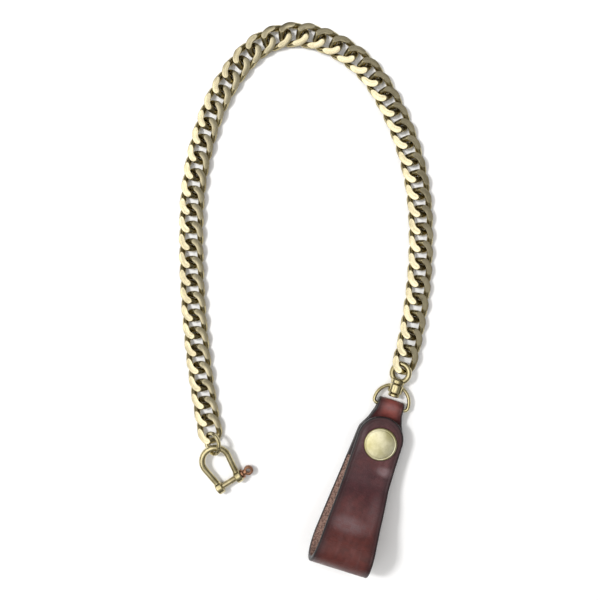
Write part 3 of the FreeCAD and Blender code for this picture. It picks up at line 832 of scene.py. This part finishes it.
def bend_line():
    """A circle from the flat back, round the bottom, to where the front's slope starts."""
    along, above = [0, BEND_RADIUS, 0], [0, 0, BEND_RADIUS]
    return arc([0, BEND_Y, BEND_Z], along, above, 270, 90 - FRONT_SLOPE, 80)


def front_line():
    """flap height + slope * w ln(1 + e^(below / w)), with below the distance under the kink.

    That is a slope which eases into the flat flap. A low wave below the kink is added, and
    the rest of the height that is missing where the bend ends, eased in on the way down.
    """
    start = bend_line()[-1]
    y = np.linspace(start[1], FLAP_END_Y + FLAP_END_RADIUS, 200)
    below = FLAP_KINK_Y - y
    ease = KINK_LENGTH * np.logaddexp(0, below / KINK_LENGTH)
    wave = SWELL * np.sin(-2 * np.pi * below / SWELL_LENGTH) * smooth_step(below / SWELL_FADE)
    z = FLAP_Z + math.tan(math.radians(FRONT_SLOPE)) * ease + wave
    return side_run(y, z + (start[2] - z[0]) * smooth_step(below / below[0]))


OUTLINE_Y = np.linspace(-85, 8, 400)
SOFTENING = np.hanning(15) / np.hanning(15).sum()


def eased(y, stops, values):
    """Straight runs between the stops, averaged over a few millimetres to round their corners."""
    soft = np.convolve(np.interp(OUTLINE_Y, stops, values), SOFTENING, "same")
    kept = slice(len(SOFTENING) // 2 + 1, -(len(SOFTENING) // 2 + 1))
    return np.interp(y, OUTLINE_Y[kept], soft[kept])


def back_outline(y):
    """Half width and middle: narrow at the fold, flaring to the shoulders, then leaning left."""
    stops = [-80, -62, -46, -34, -12, -7, -2, 3]
    half = eased(y, stops, [13.75, 13.0, 11.75, 10.9, 10.15, 7.6, 5.95, 5.8])
    return half, eased(y, stops, [-2.15, -2.1, -1.85, -1.5, -0.25, 0, 0, 0])


def front_outline(y):
    """Half width and middle: nearly straight below the flap, widening and leaning left."""
    stops = [-80, -70, -50, -34, -17]
    half = eased(y, stops, [13.7, 12.8, 11.4, 10.3, FLAP_END_RADIUS])
    return half, eased(y, stops, [-2.1, -1.7, -1.2, -0.8, -0.5])


def bend_outline(y, z):
    """From the back's outline to the front's as the strip rises round the bend."""
    share = smooth_step((z - z[0]) / (z[-1] - z[0]))
    pairs = zip(back_outline(y), front_outline(y))
    return [at_back + share * (at_front - at_back) for at_back, at_front in pairs]


print("fold radius", FOLD_RADIUS, "mm; the front rises at", round(FRONT_SLOPE, 1), "degrees")

# %% [markdown]
# ### The strip's section
#
# Across the strip the columns crowd towards both edges, where the rounding is. The height above
# the middle layer is half the thickness times (1 - (1 - d/b)^p)^(1/p), with d the distance to the
# outline and b the width of the rounding. A shallow pressed line follows the outline, and the
# flap's slow waviness fades out round its snap. All of these are functions of the place, so two
# surfaces that meet have the same edge.

# %% Make the three leather surfaces
EDGE_WIDTH, EDGE_POWER = 0.9, 2.4
LINE_INSET, LINE_WIDTH, LINE_DEPTH = 1.7, 0.22, 0.10
ACROSS = 60
WAVE_HEIGHT, WAVE_INSET = 0.048, 4.0
DISH_REACH, DISH_POWER = 9.5, 4
TIP_ANGLE = 88.5


def waviness(points):
    """Slow swells of worn leather: three crossed sine waves of the place."""
    x, y, z = np.moveaxis(points, -1, 0)
    broad = np.sin(0.31 * x + 0.17 * y + 0.2 * z)
    crossing = 0.6 * np.sin(0.23 * y - 0.41 * x + 1.3)
    short = 0.4 * np.sin(0.52 * y + 0.35 * x + 0.3 * z + 2.1)
    return WAVE_HEIGHT * (broad + crossing + short)


def flap_track(line):
    """The front's middle layer with even steps, which crowd towards the round end's tip."""
    straight = line[line[:, 1] < FLAP_END_Y]
    straight = evenly(straight, int(np.linalg.norm(straight[-1] - straight[0]) / STEP))
    turn = np.radians(np.linspace(0, TIP_ANGLE, 44))
    y = FLAP_END_Y + FLAP_END_RADIUS * np.sin(turn)
    return np.vstack([straight, side_run(y, np.interp(y, line[:, 1], line[:, 2]))[1:]])


def strip(name, centre, half, middle, rounded_end=False):
    """A closed skin round a stretch of the strip; centre is its middle layer from the side."""
    beyond = np.zeros(len(centre), bool)
    if rounded_end:
        beyond = centre[:, 1] > FLAP_END_Y
        inside = np.clip(FLAP_END_RADIUS ** 2 - (centre[:, 1] - FLAP_END_Y) ** 2, 0, None)
        half = np.where(beyond, np.sqrt(inside), half)
    heading = tangents(centre, closed=False)
    outward = np.stack([np.zeros(len(centre)), -heading[:, 2], heading[:, 1]], axis=1)
    angle = np.linspace(0, 2 * np.pi, 2 * ACROSS, endpoint=False)
    share, side = -np.cos(angle), np.where(np.arange(2 * ACROSS) <= ACROSS, 1.0, -1.0)
    x = half[:, None] * share[None]
    round_inset = FLAP_END_RADIUS - np.hypot(x, (centre[:, 1] - FLAP_END_Y)[:, None])
    inset = np.clip(np.where(beyond[:, None], round_inset, half[:, None] - np.abs(x)), 0, None)
    fall = (1 - (1 - np.clip(inset / EDGE_WIDTH, 0, 1)) ** EDGE_POWER) ** (1 / EDGE_POWER)
    pressed = LINE_DEPTH * np.exp(-((inset - LINE_INSET) / LINE_WIDTH) ** 2) * (side > 0)[None]
    height = THICKNESS / 2 * fall - pressed
    points = centre[:, None] + (x + middle[:, None])[..., None] * np.array([1.0, 0, 0])
    sag = waviness(points) * smooth_step(inset / WAVE_INSET)
    if rounded_end:
        from_snap = np.hypot(points[..., 0], points[..., 1] - SNAP_Y)
        sag = sag * (1 - np.exp(-(from_snap / DISH_REACH) ** DISH_POWER))
    points = points + (side[None] * height + sag)[..., None] * outward[:, None]
    flesh = np.where(side[None] < 0, smooth_step((inset - 0.25) / 0.5), 0.0)
    return surface(name, LOOP_ORIGIN + points, sharp_angle=50, inset=inset, flesh=flesh)


def stepped(line):
    """The same line with a point every step or so."""
    length = np.sum(np.linalg.norm(np.diff(line, axis=0), axis=1))
    return evenly(line, int(length / STEP))


back_track = stepped(back_line())
bend_track = stepped(bend_line())
front_track = flap_track(front_line())
back = strip("belt_loop_back", back_track, *back_outline(back_track[:, 1]))
bend = strip("belt_loop_bend", bend_track, *bend_outline(bend_track[:, 1], bend_track[:, 2]))
front = strip("belt_loop_front", front_track, *front_outline(front_track[:, 1]), rounded_end=True)
for piece in (back, bend, front):
    print(piece.name, len(piece.data.polygons), "faces")

# %% [markdown]
# ## Leather
#
# Waxed harness leather is a deep red brown that darkens where it is handled. Its edges are
# burnished almost black, and the colour runs from dark round the snap to redder at the lower
# bend. The grain side has fine pores and a few rubbed streaks; the flesh side is pale, matt and
# fibrous. A few pale lilac patches on the front are painted sheen, where the waxed grain would
# catch the light. The strip carries its distance to the outline and which side is flesh as
# attributes, so that the dark edge follows the outline wherever it goes.


# %% Pores and creases
def pores_group():
    """Leather pores: the gaps between small cells, with finer ones inside."""
    group, given, result = effect("leather_pores", {"Scale": 1400.0, "Amount": 1.0})
    coarse = node(
        group, "TexVoronoi", {"Vector": given.outputs["Vector"], "Scale": given.outputs["Scale"]},
        feature="DISTANCE_TO_EDGE",
    )
    finer = maths(group, "MULTIPLY", given.outputs["Scale"], 2.3)
    fine = node(
        group, "TexNoise", {"Vector": given.outputs["Vector"], "Scale": finer, "Detail": 4.0},
    )
    cell = maths(group, "MULTIPLY", ramp(group, coarse.outputs["Distance"], 0.0, 0.12), 0.6)
    both = maths(group, "ADD", cell, maths(group, "MULTIPLY", fine.outputs["Fac"], 0.6))
    return finish_effect(group, given, result, both)


def creases_group():
    """Fine creases across the strip: noise squeezed along its length, kept at its middle value."""
    group, given, result = effect("bend_creases", {"Scale": 260.0, "Amount": 1.0})
    lined_up = node(
        group, "Mapping",
        {"Vector": given.outputs["Vector"], "Rotation": (0.0, 0.0, 0.25), "Scale": (0.35, 1.0, 1.0)},
    )
    noise = node(
        group, "TexNoise",
        {"Vector": lined_up.outputs[0], "Scale": given.outputs["Scale"], "Detail": 3.0,
         "Distortion": 0.6},
    )
    away = maths(group, "ABSOLUTE", maths(group, "SUBTRACT", noise.outputs["Fac"], 0.5))
    return finish_effect(group, given, result, ramp(group, away, 0.0, 0.035, 1.0, 0.0))


pores = pores_group()
creases = creases_group()
print("leather effects:", pores.name, "and", creases.name)

# %% Leather colours and painted sheen spots
RED, PLUM, TAN = (0.085, 0.0145, 0.0095, 1), (0.058, 0.0150, 0.0190, 1), (0.230, 0.062, 0.052, 1)
# the second colour on the next line is the pale lilac of the painted sheen and of the rubbed streaks
WARM, SHEEN_AND_SCUFF = (0.125, 0.030, 0.026, 1), (0.26, 0.17, 0.18, 1)
EDGE_DYE, BLACK = (0.022, 0.007, 0.009, 1), (0.008, 0.004, 0.005, 1)
PALE_FIBRE, DARK_FIBRE = (0.36, 0.23, 0.185, 1), (0.10, 0.055, 0.045, 1)

# painted sheen, pale where the waxed front would catch the light: place on the strip, reach in each direction
# (mm), and how much
SHEEN_SPOTS = [
    ((5.8, -27.4), (5.5, 3.0, 9.0), 0.85),
    ((-8.5, -16.0), (2.2, 9.0, 9.0), 0.45),
    ((-3.5, -52.0), (12.5, 5.0, 9.0), 0.50),
    ((5.5, -44.0), (4.0, 11.0, 9.0), 0.22),
    ((0.0, 0.0), (5.0, 3.0, 9.0), 0.30),
]


def spot_place(spot):
    """A place on the front layer in metres, from its place across and along the strip."""
    height = float(np.interp(spot[1], front_track[:, 1], front_track[:, 2])) + THICKNESS / 2
    return tuple((LOOP_ORIGIN + [spot[0], spot[1], height]) * MM)


def length_colours(tree, place):
    """Plum round the snap, red towards the lower bend, and a lighter tan on the neck."""
    along = node(tree, "SeparateXYZ", {0: place}).outputs["Y"]
    snap_row = (LOOP_ORIGIN[1] + SNAP_Y) * MM
    lower = ramp(tree, along, snap_row - 48 * MM, snap_row - 16 * MM, 1.0, 0.0)
    neck = ramp(tree, along, snap_row + 9 * MM, snap_row + 13.5 * MM)
    return blend_colours(tree, neck, blend_colours(tree, lower, PLUM, RED), TAN)


def sheen_share(tree, place, speck, spot, reach, share):
    """The share of painted sheen at the spot, fading to nothing at its reach, and broken up by the specks."""
    offset = node(tree, "VectorMath", {0: place, 1: spot_place(spot)}, operation="SUBTRACT").outputs[0]
    reach_m = tuple(value * MM for value in reach)
    stretched = node(tree, "VectorMath", {0: offset, 1: reach_m}, operation="DIVIDE").outputs[0]
    far = node(tree, "VectorMath", {0: stretched}, operation="LENGTH").outputs["Value"]
    faded = ramp(tree, far, 0.2, 1.0, share, 0.0)
    return maths(tree, "MULTIPLY", faded, ramp(tree, speck, 0.0, 0.8, 0.5, 1.0))


print(len(SHEEN_SPOTS), "painted sheen spots")


# %% The leather material
def leather_material():
    """Grain side: colours, wear, painted sheen and dark edges, one over the other; flesh side: pale fibre."""
    material, tree, shader, place = begin_material("harness_leather")
    inset = node(tree, "Attribute", attribute_name="inset").outputs["Fac"]
    flesh = node(tree, "Attribute", attribute_name="flesh").outputs["Fac"]
    cloud = use(tree, tarnish, place, Scale=75.0, Amount=1.0)
    speck = use(tree, tarnish, place, Scale=420.0, Amount=1.0)
    fuzz = use(tree, tarnish, place, Scale=1300.0, Amount=1.0)
    pore = use(tree, pores, place, Scale=1500.0, Amount=1.0)
    crease = use(tree, creases, place, Scale=240.0, Amount=1.0)
    rubbed = use(tree, hairlines, place, Scale=330.0, Amount=1.0)

    grain = length_colours(tree, place)
    grain = blend_colours(tree, maths(tree, "MULTIPLY", cloud, 0.4), grain, WARM)
    # painted sheen: pale lilac patches where the waxed front would catch the light
    for spot, reach, share in SHEEN_SPOTS:
        grain = blend_colours(tree, sheen_share(tree, place, speck, spot, reach, share), grain, SHEEN_AND_SCUFF)
    scuffed = maths(tree, "MULTIPLY", rubbed, maths(tree, "MULTIPLY", cloud, 0.12))
    grain = blend_colours(tree, scuffed, grain, SHEEN_AND_SCUFF)
    grain = blend_colours(tree, maths(tree, "MULTIPLY", speck, 0.3), grain, BLACK)
    grain = blend_colours(tree, ramp(tree, inset, 0.5, 4.5, 0.8, 0.0), grain, EDGE_DYE)
    grain = blend_colours(tree, ramp(tree, inset, 0.35, 1.0, 1.0, 0.0), grain, BLACK)
    fibre = blend_colours(tree, fuzz, PALE_FIBRE, DARK_FIBRE)
    tree.links.new(blend_colours(tree, flesh, grain, fibre), shader.inputs["Base Color"])

    waxed = ramp(tree, cloud, 0.0, 1.0, 0.30, 0.44)
    mixed = node(tree, "Mix", {"Factor": flesh}, data_type="FLOAT")
    tree.links.new(maths(tree, "ADD", waxed, maths(tree, "MULTIPLY", rubbed, 0.12)), mixed.inputs[2])
    mixed.inputs[3].default_value = 0.95
    tree.links.new(mixed.outputs[0], shader.inputs["Roughness"])
    creased = maths(tree, "MULTIPLY", crease, 0.5)
    relief = maths(tree, "SUBTRACT", maths(tree, "MULTIPLY", pore, 0.6), creased)
    relief = maths(tree, "SUBTRACT", relief, maths(tree, "MULTIPLY", rubbed, 0.35))
    bump = node(tree, "Bump", {"Height": relief, "Strength": 0.5, "Distance": 0.12 * MM})
    tree.links.new(bump.outputs["Normal"], shader.inputs["Normal"])
    shader.inputs["Specular IOR Level"].default_value = 0.5
    return material


leather = leather_material()
print("leather material has", len(leather.node_tree.nodes), "nodes")

# %% [markdown]
# ### The strip on its two bodies
#
# The back and the front ride on their own bodies. The bend is tied to neither: its place is
# baked into its mesh, and it stays there when the snap is opened.

# %% Put the leather on and tie it to the bodies
for piece in (back, bend, front):
    piece.data.materials.append(leather)
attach(back, "strap_back")
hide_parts("strap_back")
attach(front, "strap_front")
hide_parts("strap_front")
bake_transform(bend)

# %% [markdown]
# ## The snap
#
# The cap is a shallow drawn dome with a rolled rim, brushed on a lathe, so its marks run in
# circles. Spinning one profile gives the shape. The brushing is a noise read at the distance
# from the cap's centre, which stretches it into rings. The hidden socket, stud and post keep
# their own shapes and only get their metal.

# %% The snap cap
cap_low, cap_high = node_box("snap_cap")
cap_centre = np.array([(cap_low[0] + cap_high[0]) / 2, (cap_low[1] + cap_high[1]) / 2, 0.0])
CAP_RADIUS = (cap_high[0] - cap_low[0]) / 2
CAP_TOP = cap_high[2]
CAP_FOOT = FLAP_Z + THICKNESS / 2
RIM_EDGE, RIM_HEIGHT = 0.55, 1.02
DOME_START, DOME_END, DOME_POWER = 0.5, 0.05, 2.2
GROOVE_INSET, GROOVE_WIDTH, GROOVE_DEPTH = 1.0, 0.16, 0.10
SHANK_RADIUS = 1.2


def cap_profile():
    """Shank, flat underside, rolled rim, and a dome that falls away as (r / R)^2.2 from its top.

    A groove is pressed into the dome: a narrow bell curve of the distance from its circle.
    """
    turn = np.radians(np.linspace(-90, 60, 12))
    rim_height = CAP_FOOT + RIM_EDGE + RIM_EDGE * np.sin(turn)
    rim_radius = CAP_RADIUS - RIM_EDGE + RIM_EDGE * np.cos(turn)
    radius = np.linspace(CAP_RADIUS - DOME_START, DOME_END, 60)
    dome = CAP_TOP - (CAP_TOP - CAP_FOOT - RIM_HEIGHT) * (radius / CAP_RADIUS) ** DOME_POWER
    from_groove = radius - CAP_RADIUS + GROOVE_INSET
    dome = dome - GROOVE_DEPTH * np.exp(-(from_groove / GROOVE_WIDTH) ** 2)
    shank = [[cap_low[2], AXIS_GAP], [cap_low[2], SHANK_RADIUS], [CAP_FOOT, SHANK_RADIUS]]
    rim = np.stack([rim_height, rim_radius], axis=1)
    return np.vstack([shank, rim, np.stack([dome, radius], axis=1)])


def cap_material():
    """Brass brushed in circles, with painted shade darkening the outer ring where the rim rolls under."""
    material, tree, shader, place = begin_material("brushed_cap_brass")
    centred = node(tree, "Mapping", {"Vector": place, "Location": tuple(-cap_centre * MM)})
    apart = node(tree, "SeparateXYZ", {0: centred.outputs[0]})
    flat = node(tree, "CombineXYZ", {"X": apart.outputs["X"], "Y": apart.outputs["Y"]}).outputs[0]
    radius = node(tree, "VectorMath", {0: flat}, operation="LENGTH").outputs["Value"]
    rings = node(
        tree, "TexNoise",
        {"W": maths(tree, "MULTIPLY", radius, 9000.0), "Scale": 1.0, "Detail": 3.0},
        noise_dimensions="1D",
    ).outputs["Fac"]
    cloud = use(tree, tarnish, place, Scale=110.0, Amount=1.0)
    lines = use(tree, hairlines, place, Scale=600.0, Amount=1.0)
    # painted shade: the cap's outer ring is darkened as if shaded by its rolled rim
    rim = ramp(tree, radius, (CAP_RADIUS - 0.9) * MM, CAP_RADIUS * MM, 0.0, 0.8)
    colour = blend_colours(tree, cloud, (0.95, 0.90, 0.64, 1), (0.60, 0.55, 0.28, 1))
    colour = blend_colours(tree, rim, colour, (0.28, 0.22, 0.07, 1))
    tree.links.new(colour, shader.inputs["Base Color"])
    ringed = maths(tree, "MULTIPLY", rings, 0.16)
    rough = maths(tree, "ADD", ringed, maths(tree, "MULTIPLY", lines, 0.08))
    tree.links.new(maths(tree, "ADD", rough, 0.24), shader.inputs["Roughness"])
    relief = maths(tree, "SUBTRACT", rings, maths(tree, "MULTIPLY", lines, 0.5))
    bump = node(tree, "Bump", {"Height": relief, "Strength": 0.35, "Distance": 0.02 * MM})
    tree.links.new(bump.outputs["Normal"], shader.inputs["Normal"])
    shader.inputs["Metallic"].default_value = 1.0
    shader.inputs["Anisotropic"].default_value = 0.3
    return material


cap = surface("snap_cap_dome", turned(cap_profile(), cap_centre, UP, 96), sharp_angle=60)
cap.data.materials.append(cap_material())
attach(cap, "strap_front")
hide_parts("snap_cap")
for name in ("snap_socket", "snap_stud", "snap_post"):
    frame["nodes"][name].data.materials.clear()
    frame["nodes"][name].data.materials.append(snap_inner)
print("cap radius", round(float(CAP_RADIUS), 2), "mm")

# %% [markdown]
# ## Floor, light and camera
#
# The chain lies on a plain white sheet and is seen from straight above. Polished flats act as
# small mirrors, so what they reflect matters more than how much light falls on them. The room
# is brightest high up on the left, which turns the flats that lean that way cream white and
# leaves the others dull olive. A lamp on each side gives the firm shadows, and neither is
# mirrored in the brass. Looked at directly, the room is plain and pale, so that a low view
# shows no dark or patchy wall behind the sheet.

# %% Stage
VIEW_TURN = math.radians(17.5)
RIGHT = Vector((math.cos(VIEW_TURN), math.sin(VIEW_TURN), 0))
AHEAD = Vector((-math.sin(VIEW_TURN), math.cos(VIEW_TURN), 0))
VIEW_CENTRE = Vector((1.72, -6.2, 0)) * MM
CAMERA_HEIGHT = 0.352
LENS, SENSOR_WIDTH = 47.4, 36
PLAIN_WALL = 0.95
SHEET_REACH, SHEET_LEVEL = 1.5, -0.05 * MM
BRIGHT_SIDE = (AHEAD * 0.06 - RIGHT * 0.49 + Vector((0, 0, 0.86))).normalized()


def add_floor():
    """A large square just below the object."""
    corners = [(x * SHEET_REACH, y * SHEET_REACH, SHEET_LEVEL)
               for x, y in ((-1, -1), (1, -1), (1, 1), (-1, 1))]
    mesh = bpy.data.meshes.new("white_sheet")
    mesh.from_pydata(corners, [], [(0, 1, 2, 3)])
    floor = bpy.data.objects.new("white_sheet", mesh)
    bpy.context.scene.collection.objects.link(floor)
    material, _, shader, _ = begin_material("white_paper")
    shader.inputs["Base Color"].default_value = (0.92, 0.92, 0.92, 1)
    shader.inputs["Roughness"].default_value = 0.9
    shader.inputs["Specular IOR Level"].default_value = 0.1
    mesh.materials.append(material)


def add_lamp(name, side, forward, height, width, power):
    """A square lamp that faces the middle of the sheet and isn't mirrored in the brass."""
    data = bpy.data.lights.new(name, "AREA")
    data.size = width
    data.energy = power
    light = bpy.data.objects.new(name, data)
    light.location = VIEW_CENTRE + RIGHT * side + AHEAD * forward + Vector((0, 0, height))
    light.rotation_euler = (VIEW_CENTRE - light.location).to_track_quat("-Z", "Y").to_euler()
    light.visible_glossy = False
    bpy.context.scene.collection.objects.link(light)


def add_room(darkest, brightest):
    """A room that is dark low down, brightest high up on the left, and a little uneven.

    Only the light and the reflections see it so: looked at directly, it is a plain pale wall.
    """
    world = bpy.data.worlds.new("room")
    world.use_nodes = True
    tree = world.node_tree
    direction = node(tree, "TexCoord").outputs["Generated"]
    towards = node(
        tree, "VectorMath", {0: direction, 1: tuple(BRIGHT_SIDE)}, operation="DOT_PRODUCT",
    )
    sideways = ramp(tree, towards.outputs["Value"], 0.58, 0.98, 0.34, brightest)
    height = node(tree, "SeparateXYZ", {0: direction}).outputs["Z"]
    upwards = ramp(tree, height, 0.0, 0.75, darkest, 1.0)
    patches = node(tree, "TexNoise", {"Vector": direction, "Scale": 6.0, "Detail": 2.0}).outputs["Fac"]
    uneven = ramp(tree, patches, 0.36, 0.64, 0.6, 1.35)
    strength = maths(tree, "MULTIPLY", maths(tree, "MULTIPLY", sideways, upwards), uneven)
    seen = node(tree, "LightPath").outputs["Is Camera Ray"]
    shown = node(tree, "Mix", {"Factor": seen}, data_type="FLOAT")
    tree.links.new(strength, shown.inputs[2])
    shown.inputs[3].default_value = PLAIN_WALL
    tree.links.new(shown.outputs[0], tree.nodes["Background"].inputs["Strength"])
    tree.nodes["Background"].inputs["Color"].default_value = (1.0, 0.99, 0.975, 1)
    bpy.context.scene.world = world


def add_camera():
    """A camera straight above the middle, turned so that the belt loop hangs to the right."""
    data = bpy.data.cameras.new("camera")
    data.lens = LENS
    data.sensor_width = SENSOR_WIDTH
    camera = bpy.data.objects.new("camera", data)
    camera.location = VIEW_CENTRE + Vector((0, 0, CAMERA_HEIGHT))
    camera.rotation_euler = (0, 0, VIEW_TURN)
    bpy.context.scene.collection.objects.link(camera)
    bpy.context.scene.camera = camera


add_floor()
add_lamp("lamp_left", side=-0.56, forward=0.15, height=0.9, width=0.16, power=6.6)
add_lamp("lamp_right", side=0.56, forward=0.12, height=0.9, width=0.20, power=1.4)
add_room(darkest=0.12, brightest=1.6)
add_camera()
bpy.context.scene.view_settings.view_transform = "Standard"
bpy.context.scene.view_settings.look = "None"
print("camera", CAMERA_HEIGHT, "m up, turned", round(math.degrees(VIEW_TURN), 1), "degrees")
